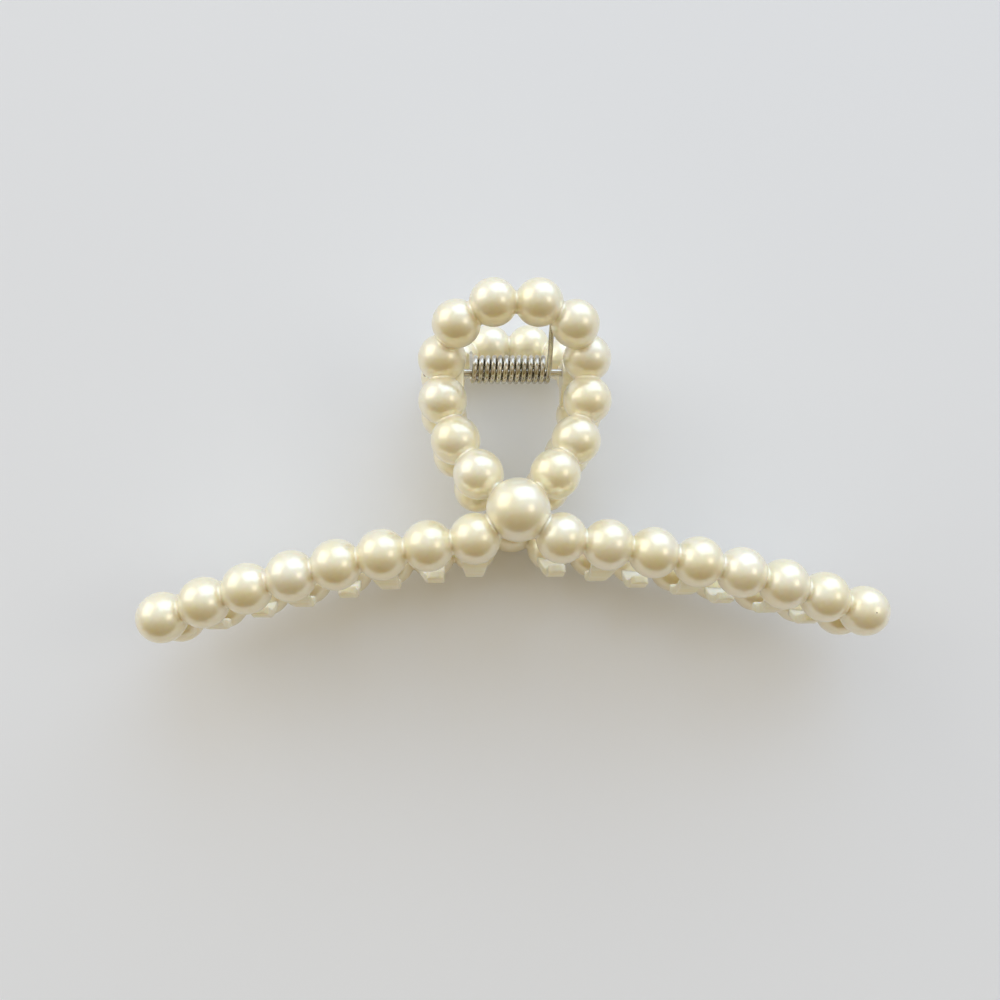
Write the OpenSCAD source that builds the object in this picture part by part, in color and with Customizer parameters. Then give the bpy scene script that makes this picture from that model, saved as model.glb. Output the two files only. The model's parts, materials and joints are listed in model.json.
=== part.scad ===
// Pearl claw clip for hair, closed and lying on its rear jaw.
// Two equal jaws turn on one steel pin. Each jaw is a moulded string of beads: a handle loop,
// a larger centre bead and two arms that carry curved teeth.
// +X runs along the arms, +Y towards the handle loops, +Z out of the surface the clip lies on.
// A jaw is drawn about the hinge axis, with its beads on the +Z side of it.

/* [Beads] */
// Diameter of a bead on the arms
arm_bead_d = 7.4; // [7.2:0.1:7.6]
// Diameter of a bead at the top of the handle loop
loop_bead_d = 7.1; // [7.0:0.1:7.3]
// Diameter of the centre bead
centre_bead_d = 9.2; // [8.8:0.1:9.4]

/* [Arms] */
// Beads on each arm
arm_beads = 8; // [6:1:8]
// Distance between the first two arm beads along X
arm_pitch = 6.7; // [6.5:0.1:6.8]
// Height of the first arm bead above the hinge axis
arm_height = 10.1; // [9.8:0.1:10.3]

/* [Teeth] */
// Width of a tooth at its root
tooth_root_w = 5.6; // [5:0.1:5.8]
// Width of a tooth at its tip
tooth_tip_w = 2.6; // [2.2:0.1:3]
// Thickness of a tooth
tooth_t = 1.3; // [1.1:0.1:1.5]
// How far a tooth reaches past the middle of the closed clip
tooth_past_middle = 2.5; // [1.5:0.1:2.8]

/* [Hinge] */
// Diameter of the hinge pin
pin_d = 1.2; // [1:0.1:1.4]
// Length of the hinge pin
pin_length = 27.8; // [26.6:0.2:28]
// Radial gap between the pin and the lugs that turn on it
running_gap = 0.05; // [0.02:0.01:0.08]
// Thickness of a hinge lug
lug_t = 2.3; // [2:0.1:2.4]
// Distance from the middle to the inner face of an inner lug
lug_start = 7.6; // [7.5:0.1:7.8]

/* [Spring] */
// Diameter of the spring wire
wire_d = 0.8; // [0.7:0.05:0.9]
// Outer diameter of the spring coil
coil_d = 4.5; // [4.2:0.1:4.6]
// Whole turns of the coil, before the last quarter turn
coil_turns = 12; // [10:1:12]

/* [Hidden] */

pearl_colour = "cornsilk";
steel_colour = "silver";
$fn = 64;

// Beads on one side of the handle loop, from its top down to the centre bead: [x, y, z]
loop_side = [
    [3.3, 7.5, 12.05],
    [8.7, 4.8, 10.4],
    [10.9, 0.8, 5.9],
    [10.8, -5.6, 5.9],
    [8.9, -11.8, 6.7],
    [5.6, -17.1, 8.4]
];
centre_bead = [0, -22.6, 11];
last_loop_bead = len(loop_side) - 1;

// The loop beads grow evenly from the top of the loop to the arms' size
function loop_bead_size(i) = loop_bead_d + (arm_bead_d - loop_bead_d) * i / last_loop_bead;

// An arm leaves the centre bead and falls away in a shallow curve, towards the tip and the middle
arm_start = [6.2, -26.6, arm_height];
arm_slope = [arm_pitch, -0.9, 0];
arm_bend = [-0.035, -0.09, -0.1];
function arm_point(i) = arm_start + arm_slope * i + arm_bend * i * i;

// The clip lies on the two top beads of the rear loop and the rear centre bead
hinge_height = centre_bead[2] + centre_bead_d / 2;
// The origin is under the middle of the clip's box
top_edge = loop_side[0][1] + loop_bead_d / 2;
tip_edge = arm_point(arm_beads - 1)[1] - arm_bead_d / 2;
hinge_y = -(top_edge + tip_edge) / 2;

// Seen along X a tooth is an arc: it starts inside its bead, bulges away from the hinge and ends
// past the middle of the clip. These are distances from the bead's centre.
tooth_root_in = 1;
tooth_root_drop = 0.8;
tooth_first_bulge = 4.2;
tooth_bulge_step = -0.18;
tooth_tip_back = 0.35;
// Distance from the bead's centre to the straight edge of a tooth, on the side of the middle
tooth_inner = 2.1;
tooth_blank_w = 8;
taper_steps = 10;
// A tooth narrows fast below its root and slowly towards its tip: share is 0 at the root, 1 at the tip
function tooth_width(share) = tooth_tip_w + (tooth_root_w - tooth_tip_w) * pow(1 - share, 3);

lug_gap = 0.3;
lug_eye_r = 2;
lug_root_z = 5.2;
lug_root_bottom = -5.2;
lug_root_top = 2.2;

// The coil is loose on the pin: it lies a little to the left, and its legs push it to the handles
coil_aside = -0.45;
coil_shift = 0.5;
coil_r = (coil_d - wire_d) / 2;
coil_pitch = wire_d + 0.15;
coil_end_x = (coil_turns + 0.25) * coil_pitch / 2;
leg_angle = 45;
rear_leg = 8.2;
// The coil's lean to the left takes the front leg's start away from its bead, so that leg is longer
front_leg = 10.2;
turn_steps = 16;
wire_sides = 8;

// Puts a jaw's shape in the front jaw's place
module in_front_jaw() {
    translate([0, hinge_y, hinge_height]) children();
}

// Puts a jaw's shape in the rear jaw's place: the same jaw, turned half a turn about Y
module in_rear_jaw() {
    translate([0, hinge_y, hinge_height]) rotate([0, 180, 0]) children();
}

// Mirrors a right-hand shape to the left when side is -1
module on_side(side) {
    mirror([side < 0 ? 1 : 0, 0, 0]) children();
}

module bead(place, diameter) {
    translate(place) sphere(d = diameter);
}

module centre_bead_solid() {
    bead(centre_bead, centre_bead_d);
}

module loop_half() {
    for (i = [0 : last_loop_bead]) bead(loop_side[i], loop_bead_size(i));
}

module handle_loop() {
    color(pearl_colour) difference() {
        union() {
            loop_half();
            on_side(-1) loop_half();
        }
        centre_bead_solid();
    }
}

module centre_piece() {
    color(pearl_colour) centre_bead_solid();
}

// Each bead is turned a quarter turn, which keeps its sphere's seam clear of the joints
module arm_string() {
    for (i = [0 : arm_beads - 1]) translate(arm_point(i)) rotate([0, 0, 90]) bead([0, 0, 0], arm_bead_d);
}

module arm(side) {
    color(pearl_colour) on_side(side) difference() {
        arm_string();
        centre_bead_solid();
    }
}

// Centre of the circle through three points of the YZ plane
function circle_centre(a, b, c) =
    let (
        twist = 2 * (a[0] * (b[1] - c[1]) + b[0] * (c[1] - a[1]) + c[0] * (a[1] - b[1]))
    )
    [
        ((a * a) * (b[1] - c[1]) + (b * b) * (c[1] - a[1]) + (c * c) * (a[1] - b[1])) / twist,
        ((a * a) * (c[0] - b[0]) + (b * b) * (a[0] - c[0]) + (c * c) * (b[0] - a[0])) / twist
    ];

// Angle of a point seen from a centre, from +Y towards +Z, always 0 to 360
function bearing(point, centre) = (atan2(point[1] - centre[1], point[0] - centre[0]) + 360) % 360;

// The curved band that the tooth of arm bead i is cut from
module tooth_band(i) {
    line = arm_point(i);
    reach = tooth_first_bulge + tooth_bulge_step * i;
    root = [line[1] - tooth_root_in, line[2] - tooth_root_drop];
    tip = [line[1] - reach + tooth_tip_back, -tooth_past_middle];
    bulge = [line[1] - reach, (root[1] + tip[1]) / 2];
    centre = circle_centre(root, bulge, tip);
    bend_r = norm(root - centre);
    start = bearing(root, centre);
    sweep = bearing(tip, centre) - start;
    translate([0, centre[0], centre[1]])
        rotate([90, 0, 90])
            rotate([0, 0, start])
                rotate_extrude(angle = sweep, $fn = 96)
                    translate([bend_r - tooth_t / 2, -tooth_blank_w / 2])
                        square([tooth_t, tooth_blank_w]);
}

// The outline that narrows the tooth of arm bead i towards its tip. The first tooth narrows evenly
// on both sides, and the others have a straight edge on the side of the middle.
module tooth_taper(i) {
    line = arm_point(i);
    depth = 4 * tooth_first_bulge;
    root_z = line[2];
    tip_z = -tooth_past_middle - tooth_t;
    shares = [for (step = [0 : taper_steps]) step / taper_steps];
    inner_edge = [for (share = shares) i == 0 ? tooth_width(share) / 2 : tooth_inner];
    inner_side = [
        for (step = [0 : taper_steps]) [-inner_edge[step], root_z + (tip_z - root_z) * shares[step]]
    ];
    outer_side = [
        for (step = [taper_steps : -1 : 0])
            [tooth_width(shares[step]) - inner_edge[step], root_z + (tip_z - root_z) * shares[step]]
    ];
    translate([0, line[1] + depth / 2, 0])
        rotate([90, 0, 0])
            linear_extrude(depth) polygon(concat(inner_side, outer_side));
}

// The tooth of arm bead i, counted from 0 beside the centre bead
module tooth(i) {
    translate([arm_point(i)[0], 0, 0]) intersection() {
        tooth_band(i);
        tooth_taper(i);
    }
}

// A tooth under every second bead of an arm, from bead first on. The tip bead has none.
module teeth(side, first) {
    color(pearl_colour) on_side(side) difference() {
        for (i = [first : 2 : arm_beads - 2]) tooth(i);
        arm_string();
        centre_bead_solid();
    }
}

// A plate that hangs from the third and fourth loop beads and ends in an eye round the hinge axis
module lug(start, bore_r) {
    translate([start, 0, 0]) rotate([90, 0, 90]) linear_extrude(lug_t) difference() {
        union() {
            circle(r = lug_eye_r);
            polygon([
                [lug_eye_r, 0],
                [lug_root_top, lug_root_z],
                [lug_root_bottom, lug_root_z],
                [-lug_eye_r, 0]
            ]);
        }
        circle(r = bore_r);
    }
}

// The left lug is the inner one and the right lug the outer one, so two jaws interleave
module hinge_lugs(bore_r) {
    color(pearl_colour) difference() {
        union() {
            on_side(-1) lug(lug_start, bore_r);
            lug(lug_start + lug_t + lug_gap, bore_r);
        }
        loop_half();
        on_side(-1) loop_half();
    }
}

module hinge_pin() {
    color(steel_colour) translate([-pin_length / 2, hinge_y, hinge_height])
        rotate([0, 90, 0]) cylinder(d = pin_d, h = pin_length);
}

// The wire's line: [x, y, z, angle of the wire's outer side from +Y towards +Z].
// It comes from the tip of the rear leg, winds round the pin and leaves along the front leg.
coil_start_angle = 180 + leg_angle;
coil_steps = turn_steps * (coil_turns + 0.25);
function coil_angle(step) = coil_start_angle - step * 360 / turn_steps;
function coil_point(step) = [
    coil_aside - coil_end_x + coil_pitch * step / turn_steps,
    coil_shift + coil_r * cos(coil_angle(step)),
    coil_r * sin(coil_angle(step)),
    coil_angle(step)
];
function leg_tip(start, length, rise) =
    start + [0, length * cos(leg_angle), rise * length * sin(leg_angle), 0];
wire_line = concat(
    [leg_tip(coil_point(0), rear_leg, -1)],
    [for (step = [0 : coil_steps]) coil_point(step)],
    [leg_tip(coil_point(coil_steps), front_leg, 1)]
);

// One ring of points round the wire
function wire_ring(p) = [
    for (side = [0 : wire_sides - 1])
        let (turn = side * 360 / wire_sides, out = wire_d / 2 * cos(turn))
        [p[0] + wire_d / 2 * sin(turn), p[1] + out * cos(p[3]), p[2] + out * sin(p[3])]
];

module torsion_spring() {
    rings = len(wire_line);
    points = [for (p = wire_line) each wire_ring(p)];
    walls = [
        for (ring = [0 : rings - 2], side = [0 : wire_sides - 1])
            let (next = (side + 1) % wire_sides, a = ring * wire_sides)
            [a + side, a + wire_sides + side, a + wire_sides + next, a + next]
    ];
    first_end = [for (side = [0 : wire_sides - 1]) side];
    last_end = [for (side = [wire_sides - 1 : -1 : 0]) (rings - 1) * wire_sides + side];
    color(steel_colour) translate([0, hinge_y, hinge_height])
        polyhedron(points, concat(walls, [first_end, last_end]), convexity = 10);
}

in_rear_jaw() handle_loop();  // rear_handle_loop
in_rear_jaw() centre_piece();  // rear_centre_bead
in_rear_jaw() arm(1);  // rear_left_arm
in_rear_jaw() arm(-1);  // rear_right_arm
in_rear_jaw() teeth(1, 1);  // rear_left_teeth
in_rear_jaw() teeth(-1, 0);  // rear_right_teeth
in_rear_jaw() hinge_lugs(pin_d / 2);  // rear_hinge_lugs
in_front_jaw() handle_loop();  // front_handle_loop
in_front_jaw() centre_piece();  // front_centre_bead
in_front_jaw() arm(-1);  // front_left_arm
in_front_jaw() arm(1);  // front_right_arm
in_front_jaw() teeth(-1, 0);  // front_left_teeth
in_front_jaw() teeth(1, 1);  // front_right_teeth
in_front_jaw() hinge_lugs(pin_d / 2 + running_gap);  // front_hinge_lugs
hinge_pin();
torsion_spring();
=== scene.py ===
# Pearl claw clip: the looks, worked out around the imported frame.
# All sizes are millimetres about the hinge axis unless a note says otherwise.
import json
import math
import bpy
import numpy as np
from mathutils import Matrix


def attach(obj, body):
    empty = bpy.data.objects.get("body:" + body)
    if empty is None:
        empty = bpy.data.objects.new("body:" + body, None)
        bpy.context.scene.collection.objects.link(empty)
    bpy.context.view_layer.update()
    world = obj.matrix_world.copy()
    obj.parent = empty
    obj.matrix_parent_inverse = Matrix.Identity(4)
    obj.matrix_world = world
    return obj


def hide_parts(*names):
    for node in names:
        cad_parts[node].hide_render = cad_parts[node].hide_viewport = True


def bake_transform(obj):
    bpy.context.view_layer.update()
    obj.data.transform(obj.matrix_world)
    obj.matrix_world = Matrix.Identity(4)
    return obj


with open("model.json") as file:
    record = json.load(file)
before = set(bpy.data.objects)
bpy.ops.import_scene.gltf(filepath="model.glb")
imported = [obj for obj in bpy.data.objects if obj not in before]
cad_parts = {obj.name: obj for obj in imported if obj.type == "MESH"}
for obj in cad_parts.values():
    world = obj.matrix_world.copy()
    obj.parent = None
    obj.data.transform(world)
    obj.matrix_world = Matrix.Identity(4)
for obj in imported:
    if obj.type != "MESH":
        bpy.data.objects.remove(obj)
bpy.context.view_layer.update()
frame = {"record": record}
mm = 0.001

hinge = frame["record"]["behaviour"]["joints"][0]
hingePlace = np.array(hinge["pos_m"]) / mm
print("frame loaded, hinge axis at", hingePlace, "mm")


def inFrontJaw(points):
    # a jaw's own points, moved to the hinge
    return points + hingePlace


def inRearJaw(points):
    # the same jaw turned half a turn about Y, then moved to the hinge
    return points * np.array([-1.0, 1.0, -1.0]) + hingePlace


jaws = {
    "front": {"place": inFrontJaw, "body": "front_jaw", "left": -1, "right": 1},
    "rear": {"place": inRearJaw, "body": "rear_jaw", "left": 1, "right": -1},
}


def gridFaces(rows, columns, closeRows=False, offset=0):
    # quads of a grid whose columns run round and meet; closeRows joins the last row to the first
    r = np.arange(rows if closeRows else rows - 1)[:, None]
    c = np.arange(columns)[None, :]
    nextRow = (r + 1) % rows
    nextColumn = (c + 1) % columns
    quads = np.stack([r * columns + c, nextRow * columns + c,
                      nextRow * columns + nextColumn, r * columns + nextColumn], axis=-1)
    return quads.reshape(-1, 4) + offset


def capFaces(ring, middle, flip):
    # triangles from the points of one ring to a middle point
    following = np.roll(ring, -1)
    order = (following, ring) if flip else (ring, following)
    return np.stack([order[0], order[1], np.full(len(ring), middle)], axis=-1)


def signedVolume(points, faces):
    # volume under every triangle of the faces' fans, positive when they point outwards
    total = 0.0
    for k in range(1, faces.shape[1] - 1):
        a, b, c = points[faces[:, 0]], points[faces[:, k]], points[faces[:, k + 1]]
        total += float(np.einsum("ij,ij->", a, np.cross(b, c))) / 6
    return total


def buildMesh(name, shells, material, sharpDegrees=40.0):
    # shells is a list of (points, list of face arrays); each shell is closed and is turned outwards
    allPoints, allFaces, start = [], [], 0
    for points, faceSets in shells:
        middle = points.mean(axis=0)
        volume = sum(signedVolume(points - middle, f) for f in faceSets)
        for faces in faceSets:
            faces = faces if volume > 0 else faces[:, ::-1]
            allFaces.extend((faces + start).tolist())
        allPoints.append(points)
        start += len(points)
    mesh = bpy.data.meshes.new(name)
    mesh.from_pydata((np.concatenate(allPoints) * mm).tolist(), [], allFaces)
    mesh.validate()
    mesh.polygons.foreach_set("use_smooth", np.ones(len(mesh.polygons), dtype=bool))
    mesh.set_sharp_from_angle(angle=math.radians(sharpDegrees))
    mesh.materials.append(material)
    mesh.update()
    piece = bpy.data.objects.new(name, mesh)
    bpy.context.scene.collection.objects.link(piece)
    return piece


def ringShell(rings, startMiddle=None, endMiddle=None):
    # a closed shell from rings of points (rows, columns, 3), with a fan over each end
    rows, columns, _ = rings.shape
    points = rings.reshape(-1, 3)
    middles = np.array([rings[0].mean(axis=0) if startMiddle is None else startMiddle,
                        rings[-1].mean(axis=0) if endMiddle is None else endMiddle])
    first = np.arange(columns)
    last = (rows - 1) * columns + first
    faces = [gridFaces(rows, columns),
             capFaces(first, rows * columns, True),
             capFaces(last, rows * columns + 1, False)]
    return np.concatenate([points, middles]), faces


def carriedFrames(directions, side):
    # two unit vectors square to each direction, carried along without twisting
    across, beside = [], []
    for d in directions:
        side = side - d * np.dot(side, d)
        side = side / np.linalg.norm(side)
        across.append(side)
        beside.append(np.cross(d, side))
    return np.array(across), np.array(beside)


def newMaterial(name):
    # an empty material and what is needed to fill it
    material = bpy.data.materials.new(name)
    material.use_nodes = True
    nodes = material.node_tree.nodes
    return material, nodes, material.node_tree.links, nodes["Principled BSDF"]


def noiseOf(nodes, links, place, scale, detail):
    # a cloudy pattern with scale clouds to the metre
    noise = nodes.new("ShaderNodeTexNoise")
    noise.inputs["Scale"].default_value = scale
    noise.inputs["Detail"].default_value = detail
    links.new(place, noise.inputs["Vector"])
    return noise.outputs["Fac"]


def spread(nodes, links, value, span, result=(0.0, 1.0)):
    # stretches the part of a pattern that lies within span over the result's range
    ranger = nodes.new("ShaderNodeMapRange")
    ranger.inputs["From Min"].default_value, ranger.inputs["From Max"].default_value = span
    ranger.inputs["To Min"].default_value, ranger.inputs["To Max"].default_value = result
    links.new(value, ranger.inputs["Value"])
    return ranger.outputs["Result"]


def blendColours(nodes, links, factor, first, second):
    # first where the factor is 0, second where it is 1; each is a colour or another pattern
    mix = nodes.new("ShaderNodeMix")
    mix.data_type = "RGBA"
    links.new(factor, mix.inputs["Factor"])
    for socket, colour in ((mix.inputs["A"], first), (mix.inputs["B"], second)):
        if isinstance(colour, tuple):
            socket.default_value = (*colour, 1)
        else:
            links.new(colour, socket)
    return mix.outputs["Result"]


def addBump(nodes, links, shader, pattern, strength, depth):
    # raises the surface by a pattern, by at most depth metres
    bump = nodes.new("ShaderNodeBump")
    bump.inputs["Strength"].default_value = strength
    bump.inputs["Distance"].default_value = depth
    links.new(pattern, bump.inputs["Height"])
    links.new(bump.outputs["Normal"], shader.inputs["Normal"])


def stretched(nodes, links, place, scale):
    # a place drawn out along some axes, for patterns that run one way
    stretch = nodes.new("ShaderNodeMapping")
    stretch.inputs["Scale"].default_value = scale
    links.new(place, stretch.inputs["Vector"])
    return stretch.outputs["Vector"]


def glowInside(shader, look):
    # light that enters the plastic and leaves nearby, warmer the farther it goes
    shader.inputs["Subsurface Weight"].default_value = look["inside"]
    shader.inputs["Subsurface Radius"].default_value = look["insideReach"]
    shader.inputs["Subsurface Scale"].default_value = look["insideDepth"]


pearlLook = {
    "cream": (0.95, 0.86, 0.60),       # the lacquer over most of a bead
    "pale": (0.97, 0.90, 0.72),        # thicker nacre in soft patches
    "cloud": 160.0,                    # patches per metre
    "cloudSpan": (0.35, 0.65),         # the part of a pattern that shows
    "silk": 1400.0,                    # fine flow of the nacre flakes
    "silkSpan": (0.3, 0.7),
    "waves": 330.0,                    # long, shallow waves of the dipped finish
    "waveStrength": 0.35,
    "waveDepth": 0.00002,              # metres
    "metallic": 0.45,
    "roughness": (0.29, 0.33),
    "ior": 1.55,
    "inside": 0.6,                     # light that travels inside the lacquer
    "insideReach": (1.0, 0.76, 0.40),
    "insideDepth": 0.0018,             # metres
    "coatRoughness": 0.08,
    "coatIor": 1.6,
    "sheen": 0.8,
    "sheenRoughness": 0.45,
    "sheenTint": (1.0, 0.94, 0.78),
}


def pearlMaterial(name, look, speck=None):
    # nacre flakes under clear lacquer: a half metallic cream base with soft patches, a hard coat
    # and the long, shallow waves of a dipped finish
    material, nodes, links, shader = newMaterial(name)
    place = nodes.new("ShaderNodeTexCoord").outputs["Object"]
    cloud = noiseOf(nodes, links, place, look["cloud"], 3.0)
    silk = noiseOf(nodes, links, place, look["silk"], 2.0)
    patch = spread(nodes, links, cloud, look["cloudSpan"])
    colour = blendColours(nodes, links, patch, look["cream"], look["pale"])
    if speck:
        offset = nodes.new("ShaderNodeVectorMath")
        offset.operation = "DISTANCE"
        links.new(place, offset.inputs[0])
        offset.inputs[1].default_value = tuple(speck["place"])
        rim = (speck["radius"], speck["core"] * speck["radius"])
        mark = spread(nodes, links, offset.outputs["Value"], rim)
        colour = blendColours(nodes, links, mark, colour, speck["colour"])
    links.new(colour, shader.inputs["Base Color"])
    links.new(spread(nodes, links, silk, look["silkSpan"], look["roughness"]), shader.inputs["Roughness"])
    shader.inputs["Metallic"].default_value = look["metallic"]
    shader.inputs["IOR"].default_value = look["ior"]
    glowInside(shader, look)
    shader.inputs["Coat Weight"].default_value = 1.0
    shader.inputs["Coat Roughness"].default_value = look["coatRoughness"]
    shader.inputs["Coat IOR"].default_value = look["coatIor"]
    shader.inputs["Sheen Weight"].default_value = look["sheen"]
    shader.inputs["Sheen Roughness"].default_value = look["sheenRoughness"]
    shader.inputs["Sheen Tint"].default_value = (*look["sheenTint"], 1)
    waves = noiseOf(nodes, links, place, look["waves"], 1.0)
    addBump(nodes, links, shader, waves, look["waveStrength"], look["waveDepth"])
    return material


teethLook = {
    "cream": (0.92, 0.83, 0.60),
    "pale": (0.96, 0.92, 0.80),
    "flow": 420.0,                     # flow lines per metre across a tooth
    "flowStretch": (0.25, 1.0, 3.0),
    "flowSpan": (0.3, 0.7),
    "flowStrength": 0.4,
    "flowDepth": 0.00004,              # metres
    "metallic": 0.05,
    "roughness": (0.30, 0.42),
    "inside": 0.6,
    "insideReach": (1.0, 0.78, 0.40),
    "insideDepth": 0.003,              # metres
    "coat": 0.5,
    "coatRoughness": 0.15,
}


def toothMaterial(name, look):
    # cream translucent plastic with a thin pearl mist: deep light inside and faint flow lines along it
    material, nodes, links, shader = newMaterial(name)
    place = nodes.new("ShaderNodeTexCoord").outputs["Object"]
    flow = noiseOf(nodes, links, stretched(nodes, links, place, look["flowStretch"]), look["flow"], 4.0)
    streaks = spread(nodes, links, flow, look["flowSpan"])
    colour = blendColours(nodes, links, streaks, look["cream"], look["pale"])
    links.new(colour, shader.inputs["Base Color"])
    links.new(spread(nodes, links, flow, look["flowSpan"], look["roughness"]), shader.inputs["Roughness"])
    shader.inputs["Metallic"].default_value = look["metallic"]
    glowInside(shader, look)
    shader.inputs["Coat Weight"].default_value = look["coat"]
    shader.inputs["Coat Roughness"].default_value = look["coatRoughness"]
    addBump(nodes, links, shader, flow, look["flowStrength"], look["flowDepth"])
    return material


steelLook = {
    "bright": (0.70, 0.66, 0.57),
    "dull": (0.42, 0.38, 0.30),
    "patches": 500.0,                  # dull patches per metre
    "patchSpan": (0.35, 0.7),
    "drawLines": 2600.0,
    "lineSpan": (0.3, 0.7),
    "lineStrength": 0.3,
    "lineDepth": 0.000004,             # metres
    "roughness": (0.10, 0.24),
}


def steelMaterial(name, look, lineStretch):
    # nickel plated steel: fine draw lines along the wire or round the pin, with slightly dull patches
    material, nodes, links, shader = newMaterial(name)
    place = nodes.new("ShaderNodeTexCoord").outputs["Object"]
    lines = noiseOf(nodes, links, stretched(nodes, links, place, lineStretch), look["drawLines"], 3.0)
    patches = noiseOf(nodes, links, place, look["patches"], 2.0)
    dulled = spread(nodes, links, patches, look["patchSpan"])
    colour = blendColours(nodes, links, dulled, look["bright"], look["dull"])
    links.new(colour, shader.inputs["Base Color"])
    links.new(spread(nodes, links, lines, look["lineSpan"], look["roughness"]), shader.inputs["Roughness"])
    shader.inputs["Metallic"].default_value = 1.0
    addBump(nodes, links, shader, lines, look["lineStrength"], look["lineDepth"])
    return material


beads = {
    "armCount": 8,
    "armDiameter": 7.4,
    "armStart": (6.2, -26.6, 10.1),
    "armSlope": (6.7, -0.9, 0.0),
    "armBend": (-0.035, -0.09, -0.1),
    "loopDiameter": 7.1,
    "loopSide": ((3.3, 7.5, 12.05), (8.7, 4.8, 10.4), (10.9, 0.8, 5.9),
                 (10.8, -5.6, 5.9), (8.9, -11.8, 6.7), (5.6, -17.1, 8.4)),
    "centre": (0.0, -22.6, 11.0),
    "centreDiameter": 9.2,
    "jointFillet": 0.30,      # lacquer that fills the groove between two beads
    "around": 72,
    "ringsPerBead": 30,
    "ringsPerFillet": 8,
    "centreRings": 60,
    "centreAround": 96,
    "poleAngle": 0.02,        # radians from each pole to the first ring
    "leastRing": 0.0001,      # keeps the ring at a free end from closing to a point
}


def armPoint(i):
    # the centre of bead i of the right arm: a start, a slope and a bend that grows with the square
    return np.array(beads["armStart"]) + np.array(beads["armSlope"]) * i + np.array(beads["armBend"]) * i * i


def armLine():
    # the arm's bead centres and radii
    points = np.array([armPoint(i) for i in range(beads["armCount"])])
    return points, np.full(beads["armCount"], beads["armDiameter"] / 2)


def loopLine():
    # down one side from the centre bead, over the top and back to it
    side = np.array(beads["loopSide"])
    steps = np.arange(len(side)) / (len(side) - 1)
    radii = (beads["loopDiameter"] + (beads["armDiameter"] - beads["loopDiameter"]) * steps) / 2
    left = side * np.array([-1.0, 1.0, 1.0])
    return np.concatenate([left[::-1], side]), np.concatenate([radii[::-1], radii])


def filletMiddle(gap, near, far, fillet):
    # the middle of a circle that touches both beads, near+fillet from one and far+fillet from the other:
    # how far it is along the line between them, and how far out from it
    along = (gap ** 2 + (near + fillet) ** 2 - (far + fillet) ** 2) / (2 * gap)
    height = math.sqrt((near + fillet) ** 2 - along ** 2)
    return along, height


def filletRings(near, far):
    # rings along the fillet's circle, from the first bead's skin to the second's
    fillet = beads["jointFillet"]
    step = far[0] - near[0]
    gap = np.linalg.norm(step)
    axis = step / gap
    along, height = filletMiddle(gap, near[1], far[1], fillet)
    startTurn = math.atan2(-height, -along)
    endTurn = math.atan2(-height, gap - along)
    turns = np.linspace(startTurn, endTurn, beads["ringsPerFillet"] + 2)
    return [(near[0] + axis * (along + fillet * math.cos(turn)), axis, height + fillet * math.sin(turn))
            for turn in turns]


def beadString(centres, radii, joined):
    # Beads on a line as one skin. On each bead the rings are circles of its sphere, whose axis turns
    # evenly from the direction it is entered in to the direction it is left in. Between two beads the
    # rings follow a small circle that touches both spheres. joined lists a bead that each end runs
    # into, as (place, radius), or None for a free round end.
    fillet = beads["jointFillet"]
    chain = [joined[0]] + list(zip(centres, radii)) + [joined[1]]
    around = 2 * math.pi * np.arange(beads["around"]) / beads["around"]
    rings = []          # (middle, axis, radius) of each
    for k in range(1, len(chain) - 1):
        here, radius = chain[k]
        into = out = None
        startAngle, endAngle = math.pi, 0.0
        if chain[k - 1]:
            step = here - chain[k - 1][0]
            gap = np.linalg.norm(step)
            into = step / gap
            along, height = filletMiddle(gap, radius, chain[k - 1][1], fillet)
            startAngle = math.pi - math.atan2(height, along)
        if chain[k + 1]:
            step = chain[k + 1][0] - here
            gap = np.linalg.norm(step)
            out = step / gap
            outAlong, outHeight = filletMiddle(gap, radius, chain[k + 1][1], fillet)
            endAngle = math.atan2(outHeight, outAlong)
        into = out if into is None else into
        out = into if out is None else out
        if k == 1 and chain[0]:
            rings += filletRings(chain[0], chain[1])[:-1]
        share = np.linspace(0, 1, beads["ringsPerBead"])
        ease = share * share * (3 - 2 * share)
        angles = startAngle + (endAngle - startAngle) * share
        for angle, e in zip(angles, ease):
            axis = into * (1 - e) + out * e
            axis = axis / np.linalg.norm(axis)
            rings.append((here + axis * radius * math.cos(angle), axis,
                          max(radius * math.sin(angle), beads["leastRing"])))
        if chain[k + 1]:
            # a fillet shares its first and last rings with the beads, but keeps its last at the string's end
            last = None if k == len(chain) - 2 else -1
            rings += filletRings(chain[k], chain[k + 1])[1:last]
    middles, axes, ringRadii = [np.array(column) for column in zip(*rings)]
    across, beside = carriedFrames(axes, np.array([0.0, 0.3, 1.0]))
    outwards = (np.cos(around)[None, :, None] * across[:, None, :]
                + np.sin(around)[None, :, None] * beside[:, None, :])
    return ringShell(middles[:, None, :] + ringRadii[:, None, None] * outwards)


def roundBead(centre, radius):
    # a sphere: rings of latitude from pole to pole about Z
    pole = beads["poleAngle"]
    latitude = np.linspace(pole, math.pi - pole, beads["centreRings"])[:, None]
    longitude = 2 * math.pi * np.arange(beads["centreAround"])[None, :] / beads["centreAround"]
    rings = np.stack([np.sin(latitude) * np.cos(longitude), np.sin(latitude) * np.sin(longitude),
                      np.cos(latitude) + 0 * longitude], axis=-1)
    top = np.array([0, 0, radius])
    return ringShell(rings * radius + centre, centre + top, centre - top)


def mirrorSide(shell, side):
    # side is 1 for the right of a jaw and -1 for its left
    points, faces = shell
    return points * np.array([side, 1.0, 1.0]), faces


def placed(shell, jaw):
    # a shell in a jaw's own place
    points, faces = shell
    return jaws[jaw]["place"](points), faces


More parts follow.
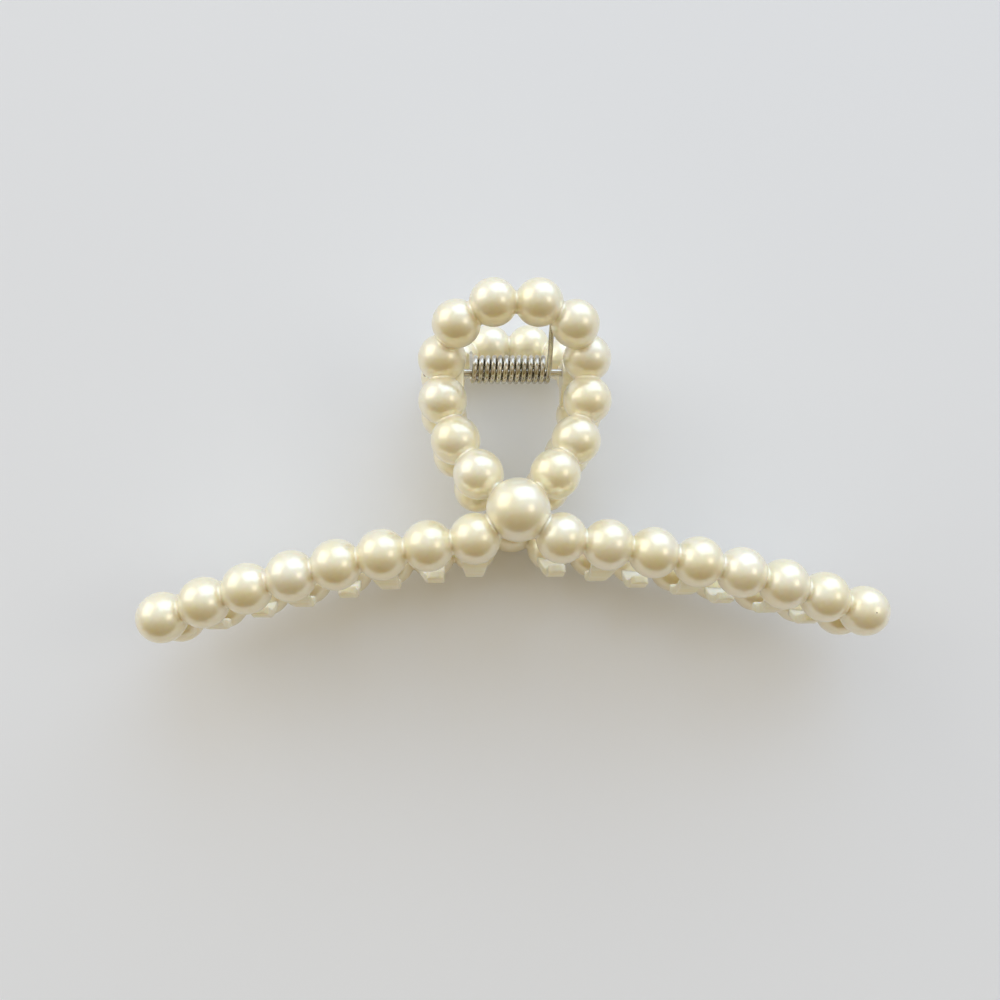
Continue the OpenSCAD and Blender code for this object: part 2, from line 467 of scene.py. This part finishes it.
def addJawPiece(jaw, part, shells, material):
    # one part of a jaw's moulding, in place of the node with the same words in its name
    words = part.split()
    piece = buildMesh(jaw + "".join(word.capitalize() for word in words),
                      [placed(shell, jaw) for shell in shells], material)
    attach(piece, jaws[jaw]["body"])
    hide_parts("_".join([jaw] + words))


teeth = {
    "rootWidth": 5.6,
    "tipWidth": 2.6,
    "thickness": 1.3,
    "pastMiddle": 2.5,
    "rootIn": 1.0,
    "rootDrop": 0.8,
    "firstBulge": 4.2,
    "bulgeStep": -0.18,
    "tipBack": 0.35,
    "innerEdge": 2.1,
    "edgeRound": 0.28,
    "cornerRound": 0.8,       # the tip's corners, seen flat on
    "rings": 40,
    "tipRings": 16,
    "around": 48,
}


def circleThrough(a, b, c):
    # centre and radius of the circle through three points of a plane
    matrix = 2 * np.array([b - a, c - a])
    values = np.array([b @ b - a @ a, c @ c - a @ a])
    centre = np.linalg.solve(matrix, values)
    return centre, np.linalg.norm(a - centre)


def toothShell(i):
    # A rounded rectangle carried along an arc of the YZ plane. The width falls with the cube of the
    # height left, so it narrows fast below the root. At the tip the width and the thickness each
    # shrink along a quarter circle, which rounds the corners and the edges.
    line = armPoint(i)
    reach = teeth["firstBulge"] + teeth["bulgeStep"] * i
    root = np.array([line[1] - teeth["rootIn"], line[2] - teeth["rootDrop"]])
    tip = np.array([line[1] - reach + teeth["tipBack"], -teeth["pastMiddle"]])
    bulge = np.array([line[1] - reach, (root[1] + tip[1]) / 2])
    centre, bend = circleThrough(root, bulge, tip)
    start = math.atan2(*(root - centre)[::-1]) % (2 * math.pi)
    end = math.atan2(*(tip - centre)[::-1]) % (2 * math.pi)
    edge = teeth["edgeRound"]
    corner = teeth["cornerRound"]
    body = np.linspace(start, end - corner / bend, teeth["rings"])
    tipAngle = np.linspace(0, math.pi / 2, teeth["tipRings"])[1:]
    turns = np.concatenate([body, body[-1] + corner * np.sin(tipAngle) / bend])
    left = np.clip((end - turns) * bend, 0, None)          # length left to the tip's end
    cornerIn = corner - np.sqrt(corner ** 2 - np.clip(corner - left, 0, corner) ** 2)
    edgeIn = edge - np.sqrt(edge ** 2 - np.clip(edge - left, 0, edge) ** 2)
    y = centre[0] + bend * np.cos(turns)
    z = centre[1] + bend * np.sin(turns)
    fall = np.clip((line[2] - z) / (line[2] + teeth["pastMiddle"] + teeth["thickness"]), 0, 1)
    width = teeth["tipWidth"] + (teeth["rootWidth"] - teeth["tipWidth"]) * (1 - fall) ** 3
    if i == 0:
        inner = -width / 2
    else:
        inner = np.full(len(turns), -teeth["innerEdge"])
    middleX = line[0] + inner + width / 2
    halfWidth = (width / 2 - cornerIn)[:, None]
    halfThickness = (teeth["thickness"] / 2 - edgeIn)[:, None]
    angle = 2 * math.pi * (np.arange(teeth["around"]) + 0.5) / teeth["around"]
    rounding = np.minimum(edge, np.minimum(halfThickness, halfWidth))
    sideways = np.sign(np.cos(angle)) * (halfWidth - rounding) + rounding * np.cos(angle)
    outwards = np.sign(np.sin(angle)) * (halfThickness - rounding) + rounding * np.sin(angle)
    rings = np.stack([middleX[:, None] + sideways,
                      y[:, None] + outwards * np.cos(turns)[:, None],
                      z[:, None] + outwards * np.sin(turns)[:, None]], axis=-1)
    return ringShell(rings)


lugs = {
    "start": 7.6,
    "thickness": 2.3,
    "gap": 0.3,
    "eye": 2.0,
    "rootHeight": 5.2,
    "rootTop": 2.2,
    "rootBottom": -5.2,
    "edgeRound": 0.35,
    "mouthRound": 0.12,       # the rounding of the bore's two mouths
    "roundSteps": 7,
    "around": 160,
}


def lugOutline(count):
    # the plate's edge about the axis: an eye, and two straight sides that run up to the root
    eye = lugs["eye"]
    height = lugs["rootHeight"]
    turns = np.linspace(math.pi, 2 * math.pi, count // 2)
    eyePart = np.stack([eye * np.cos(turns), eye * np.sin(turns)], axis=-1)
    corners = np.array([[eye, 0], [lugs["rootTop"], height], [lugs["rootBottom"], height], [-eye, 0]])
    lengths = np.linalg.norm(np.diff(corners, axis=0), axis=1)
    places = np.concatenate([[0], np.cumsum(lengths)])
    walk = np.linspace(0, places[-1], count - count // 2 + 2)[1:-1]
    sides = np.stack([np.interp(walk, places, corners[:, k]) for k in range(2)], axis=-1)
    return np.concatenate([eyePart, sides])


def lugShell(start, bore):
    # The section of a ring, carried round the eye: up the bore, across one face to the outer edge
    # and back across the other. The outer edge and the bore's mouths are rounded.
    outline = lugOutline(lugs["around"])
    bearing = np.arctan2(outline[:, 1], outline[:, 0])
    boreRing = bore * np.stack([np.cos(bearing), np.sin(bearing)], axis=-1)
    radius = lugs["edgeRound"]
    half = lugs["thickness"] / 2
    mouth = lugs["mouthRound"]
    quarter = np.linspace(0, math.pi / 2, lugs["roundSteps"])
    distance = np.linalg.norm(outline, axis=1)
    sections = [(-half + mouth, "bore", 0.0), (half - mouth, "bore", 0.0)]
    for a in quarter[1:]:
        sections.append((half - mouth * (1 - math.sin(a)), "bore", mouth * (1 - math.cos(a))))
    for a in quarter:
        sections.append((half - radius * (1 - math.cos(a)), "edge", radius * (1 - math.sin(a))))
    for a in quarter[::-1]:
        sections.append((-half + radius * (1 - math.cos(a)), "edge", radius * (1 - math.sin(a))))
    for a in quarter[:0:-1]:
        sections.append((-half + mouth * (1 - math.sin(a)), "bore", mouth * (1 - math.cos(a))))
    rows = []
    for x, kind, inset in sections:
        if kind == "bore":
            flat = boreRing * (1 + inset / bore)
        else:
            flat = outline * (1 - inset / distance)[:, None]
        rows.append(np.column_stack([np.full(len(flat), start + half + x), flat]))
    rings = np.array(rows)
    return rings.reshape(-1, 3), [gridFaces(len(rows), len(outline), closeRows=True)]


pin = {
    "radius": 0.6,
    "length": 27.8,
    "endRound": 0.22,
    "dome": 0.04,             # how far the end's middle stands past its rounding
    "domeRadius": 0.12,
    "roundSteps": 9,
    "rings": 60,
    "around": 64,
}

spring = {
    "wire": 0.8,
    "coil": 4.5,
    "turns": 12.25,
    "gap": 0.15,
    "aside": -0.45,
    "shift": 0.5,
    "legAngle": 45.0,
    "driftLength": 2.0,       # over which a leg loses the coil's sideways slope
    "rearLeg": 8.4,
    "frontLeg": 10.4,         # longer, because the coil lies away from this leg's bead
    "endRound": 0.12,
    "stepsPerTurn": 56,
    "legSteps": 14,
    "around": 20,
}


def pinShell():
    # a turned profile about X: domed ends on a straight rod, as rings from end to end
    half = pin["length"] / 2
    r = pin["endRound"]
    dome = pin["dome"]
    quarter = np.linspace(0, math.pi / 2, pin["roundSteps"])
    endX = half - r + r * np.sin(quarter[::-1])
    endRadius = pin["radius"] - r + r * np.cos(quarter[::-1])
    rodX = np.linspace(half - r, -half + r, pin["rings"])[1:-1]
    xs = np.concatenate([[half + dome], endX, rodX, -endX[::-1], [-half - dome]])
    rs = np.concatenate([[pin["domeRadius"]], endRadius, np.full(len(rodX), pin["radius"]),
                         endRadius[::-1], [pin["domeRadius"]]])
    around = 2 * math.pi * np.arange(pin["around"]) / pin["around"]
    rings = np.stack([np.repeat(xs[:, None], len(around), axis=1),
                      rs[:, None] * np.cos(around), rs[:, None] * np.sin(around)], axis=-1)
    return ringShell(rings)


def springShell():
    # A round wire carried along its line: a straight leg, a helix about X and the other leg.
    # The helix turns from the back of the pin to the front while it moves along X.
    radius = (spring["coil"] - spring["wire"]) / 2
    pitch = spring["wire"] + spring["gap"]
    steps = int(spring["turns"] * spring["stepsPerTurn"])
    share = np.linspace(0, 1, steps + 1)
    turn = math.radians(180 + spring["legAngle"]) - 2 * math.pi * spring["turns"] * share
    halfWidth = pitch * spring["turns"] / 2
    helix = np.stack([spring["aside"] - halfWidth + 2 * halfWidth * share,
                      spring["shift"] + radius * np.cos(turn), radius * np.sin(turn)], axis=-1)
    legAngle = math.radians(spring["legAngle"])
    rearWalk, frontWalk = [np.linspace(0, spring[leg], spring["legSteps"] + 1)[1:, None]
                           for leg in ("rearLeg", "frontLeg")]
    # each leg leaves along the helix's last direction and loses its sideways slope
    slope = pitch / (2 * math.pi * radius)
    fade = spring["driftLength"]
    rearDrift, frontDrift = [slope * fade * (1 - np.exp(-walk / fade)) for walk in (rearWalk, frontWalk)]
    frontLeg = helix[-1] + np.concatenate([frontDrift, frontWalk * math.cos(legAngle),
                                           frontWalk * math.sin(legAngle)], axis=1)
    rearLeg = helix[0] + np.concatenate([-rearDrift, rearWalk * math.cos(legAngle),
                                         -rearWalk * math.sin(legAngle)], axis=1)
    line = np.concatenate([rearLeg[::-1], helix, frontLeg])
    along = np.gradient(line, axis=0)
    along /= np.linalg.norm(along, axis=1)[:, None]
    outer = np.concatenate([np.full(len(rearWalk), turn[0]), turn, np.full(len(frontWalk), turn[-1])])
    side = np.stack([0 * outer, np.cos(outer), np.sin(outer)], axis=-1)
    side -= along * np.einsum("ij,ij->i", side, along)[:, None]
    side /= np.linalg.norm(side, axis=1)[:, None]
    beside = np.cross(along, side)
    around = 2 * math.pi * np.arange(spring["around"]) / spring["around"]
    r = spring["wire"] / 2
    sizes = np.full(len(line), r)
    sizes[[0, -1]] = r - spring["endRound"]
    outwards = (np.cos(around)[None, :, None] * side[:, None, :]
                + np.sin(around)[None, :, None] * beside[:, None, :])
    return ringShell(line[:, None, :] + sizes[:, None, None] * outwards), halfWidth


tipSpeck = {
    "towards": (0.12, -0.09, 1.0),    # from the middle of the right arm's last bead
    "radius": 0.13,
    "core": 0.6,                      # the share of the radius that is fully dark
    "colour": (0.22, 0.18, 0.12),
}
speckDirection = np.array(tipSpeck["towards"]) / np.linalg.norm(tipSpeck["towards"])
speckPlace = inFrontJaw(armPoint(beads["armCount"] - 1) + speckDirection * beads["armDiameter"] / 2)
speckInMetres = {**tipSpeck, "place": speckPlace * mm, "radius": tipSpeck["radius"] * mm}

pearl = pearlMaterial("cream pearl lacquer", pearlLook)
speckedPearl = pearlMaterial("cream pearl lacquer, a speck in it", pearlLook, speckInMetres)
toothPlastic = toothMaterial("translucent cream plastic", teethLook)
pinSteel = steelMaterial("nickel plated pin", steelLook, (0.15, 1.0, 1.0))
wireSteel = steelMaterial("bright spring wire", steelLook, (1.0, 1.0, 1.0))

centreBead = (np.array(beads["centre"]), beads["centreDiameter"] / 2)
armCentres, armRadii = armLine()
loopCentres, loopRadii = loopLine()
boreGaps = {"front": 0.05, "rear": 0.0}      # the pin turns in the front jaw and is fixed in the rear one

for jaw in ("rear", "front"):
    loop = beadString(loopCentres, loopRadii, (centreBead, centreBead))
    addJawPiece(jaw, "handle loop", [loop], pearl)
    addJawPiece(jaw, "centre bead", [roundBead(*centreBead)], pearl)
    for sideName in ("left", "right"):
        side = jaws[jaw][sideName]
        arm = beadString(armCentres, armRadii, (centreBead, None))
        armLacquer = speckedPearl if (jaw, sideName) == ("front", "right") else pearl
        addJawPiece(jaw, sideName + " arm", [mirrorSide(arm, side)], armLacquer)
        # teeth stand on every other bead, so the two jaws' teeth pass each other
        firstTooth = 0 if side < 0 else 1
        row = [mirrorSide(toothShell(i), side) for i in range(firstTooth, beads["armCount"] - 1, 2)]
        addJawPiece(jaw, sideName + " teeth", row, toothPlastic)
    bore = pin["radius"] + boreGaps[jaw]
    outerStart = lugs["start"] + lugs["thickness"] + lugs["gap"]
    lugPair = [mirrorSide(lugShell(lugs["start"], bore), -1), lugShell(outerStart, bore)]
    addJawPiece(jaw, "hinge lugs", lugPair, pearl)
    print(jaw, "jaw made")

pinPiece = buildMesh("hingePin", [placed(pinShell(), "front")], pinSteel)
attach(pinPiece, "rear_jaw")
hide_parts("hinge_pin")

wireShell, coilHalf = springShell()
springPiece = buildMesh("torsionSpring", [placed(wireShell, "front")], wireSteel)
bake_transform(springPiece)
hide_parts("torsion_spring")
print("pin and spring made")


studio = {
    "floorSize": 1.6,                  # metres
    "floorColour": (0.86, 0.87, 0.89),
    "floorShade": (0.96, 0.96, 0.97),  # how much darker its soft patches are
    "floorPatches": 9.0,               # per metre
    "floorRoughness": 0.55,
    "floorGloss": 0.3,
    "window": {"from": (0.34, 0.82, 0.47), "far": 1.1, "size": (1.35, 0.95),
               "watts": 4.7, "colour": (0.50, 0.70, 1.0)},
    "leftPanel": {"from": (-0.78, 0.44, 0.45), "far": 1.1, "size": (0.90, 0.90),
                  "watts": 2.5, "colour": (1.0, 0.96, 0.86)},
    "smallLamp": {"from": (0.69, 0.0, 0.73), "far": 1.1, "size": (0.38, 0.38),
                  "watts": 0.6, "colour": (1.0, 0.93, 0.80)},
    # the room's colour by how far a direction points towards +Y
    "sky": ((-1.0, (0.24, 0.14, 0.01)), (-0.85, (0.26, 0.16, 0.015)), (-0.45, (0.40, 0.31, 0.15)),
            (-0.1, (0.70, 0.67, 0.59)), (0.2, (0.87, 0.90, 0.93)), (0.6, (0.97, 1.0, 1.06))),
    "skyStrength": 0.92,
    "backdrop": (0.86, 0.86, 0.85),
}

view = {
    "target": (-2.2, -19.9, 0.0),           # from the hinge, where the camera looks
    "towardsCamera": (-0.0361, -0.1163, 0.9926),
    "distance": 157.0,
    "roll": -0.556,                         # degrees
    "lens": 36.9,
    "filmWidth": 36.0,
    "nearest": 0.01,                        # metres
}


def addFloor():
    # a pale board with a soft, barely uneven finish
    half = studio["floorSize"] / 2
    mesh = bpy.data.meshes.new("floor")
    corners = [(-half, -half, 0), (half, -half, 0), (half, half, 0), (-half, half, 0)]
    mesh.from_pydata(corners, [], [(0, 1, 2, 3)])
    floor = bpy.data.objects.new("floor", mesh)
    bpy.context.scene.collection.objects.link(floor)
    material, nodes, links, shader = newMaterial("pale floor")
    place = nodes.new("ShaderNodeTexCoord").outputs["Object"]
    clouds = noiseOf(nodes, links, place, studio["floorPatches"], 3.0)
    shaded = tuple(part * shade for part, shade in zip(studio["floorColour"], studio["floorShade"]))
    colour = blendColours(nodes, links, clouds, studio["floorColour"], shaded)
    links.new(colour, shader.inputs["Base Color"])
    shader.inputs["Roughness"].default_value = studio["floorRoughness"]
    shader.inputs["Specular IOR Level"].default_value = studio["floorGloss"]
    mesh.materials.append(material)


def aim(obj, place, target, roll=0.0):
    # turns a camera or lamp to look at target with +Y upwards in its picture, then rolls it
    back = np.array(place) - np.array(target)
    back /= np.linalg.norm(back)
    right = np.cross((0.0, 1.0, 0.0), back)
    right /= np.linalg.norm(right)
    upwards = np.cross(back, right)
    c, s = math.cos(roll), math.sin(roll)
    columns = np.array([c * right + s * upwards, c * upwards - s * right, back]).T
    obj.matrix_world = Matrix.Translation(place) @ Matrix(columns.tolist()).to_4x4()


def addPanel(name, panel):
    # a lamp behind a square of cloth, facing the hinge
    light = bpy.data.lights.new(name, "AREA")
    light.shape = "RECTANGLE"
    light.size, light.size_y = panel["size"]
    light.energy = panel["watts"]
    light.color = panel["colour"]
    lamp = bpy.data.objects.new(name, light)
    bpy.context.scene.collection.objects.link(lamp)
    direction = np.array(panel["from"]) / np.linalg.norm(panel["from"])
    target = hingePlace * mm
    aim(lamp, target + direction * panel["far"], target)


def addSky():
    # a room that changes from a dark side, past the arms, to a bright one behind the handles
    world = bpy.data.worlds.new("studio")
    bpy.context.scene.world = world
    world.use_nodes = True
    nodes, links = world.node_tree.nodes, world.node_tree.links
    background = nodes["Background"]
    direction = nodes.new("ShaderNodeTexCoord").outputs["Generated"]
    split = nodes.new("ShaderNodeSeparateXYZ")
    links.new(direction, split.inputs["Vector"])
    share = spread(nodes, links, split.outputs["Y"], (-1.0, 1.0))
    ramp = nodes.new("ShaderNodeValToRGB")
    links.new(share, ramp.inputs["Fac"])
    stops = ramp.color_ramp.elements
    while len(stops) < len(studio["sky"]):
        stops.new(0.5)
    for stop, (y, colour) in zip(stops, studio["sky"]):
        stop.position = (y + 1) / 2
        stop.color = (*colour, 1)
    # the room behind the floor is plain and pale where the camera sees it
    seen = nodes.new("ShaderNodeLightPath").outputs["Is Camera Ray"]
    colour = blendColours(nodes, links, seen, ramp.outputs["Color"], studio["backdrop"])
    links.new(colour, background.inputs["Color"])
    background.inputs["Strength"].default_value = studio["skyStrength"]


def addCamera():
    # looks down on the clip, a little from the side of the arms
    camera = bpy.data.cameras.new("camera")
    camera.lens = view["lens"]
    camera.sensor_width = view["filmWidth"]
    camera.clip_start = view["nearest"]
    obj = bpy.data.objects.new("camera", camera)
    bpy.context.scene.collection.objects.link(obj)
    target = (hingePlace + np.array(view["target"])) * mm
    towards = np.array(view["towardsCamera"]) / np.linalg.norm(view["towardsCamera"])
    aim(obj, target + towards * view["distance"] * mm, target, math.radians(view["roll"]))
    bpy.context.scene.camera = obj


addFloor()
for panelName in ("window", "leftPanel", "smallLamp"):
    addPanel(panelName, studio[panelName])
addSky()
addCamera()
bpy.context.scene.view_settings.view_transform = "Standard"
print("floor, light and camera set")
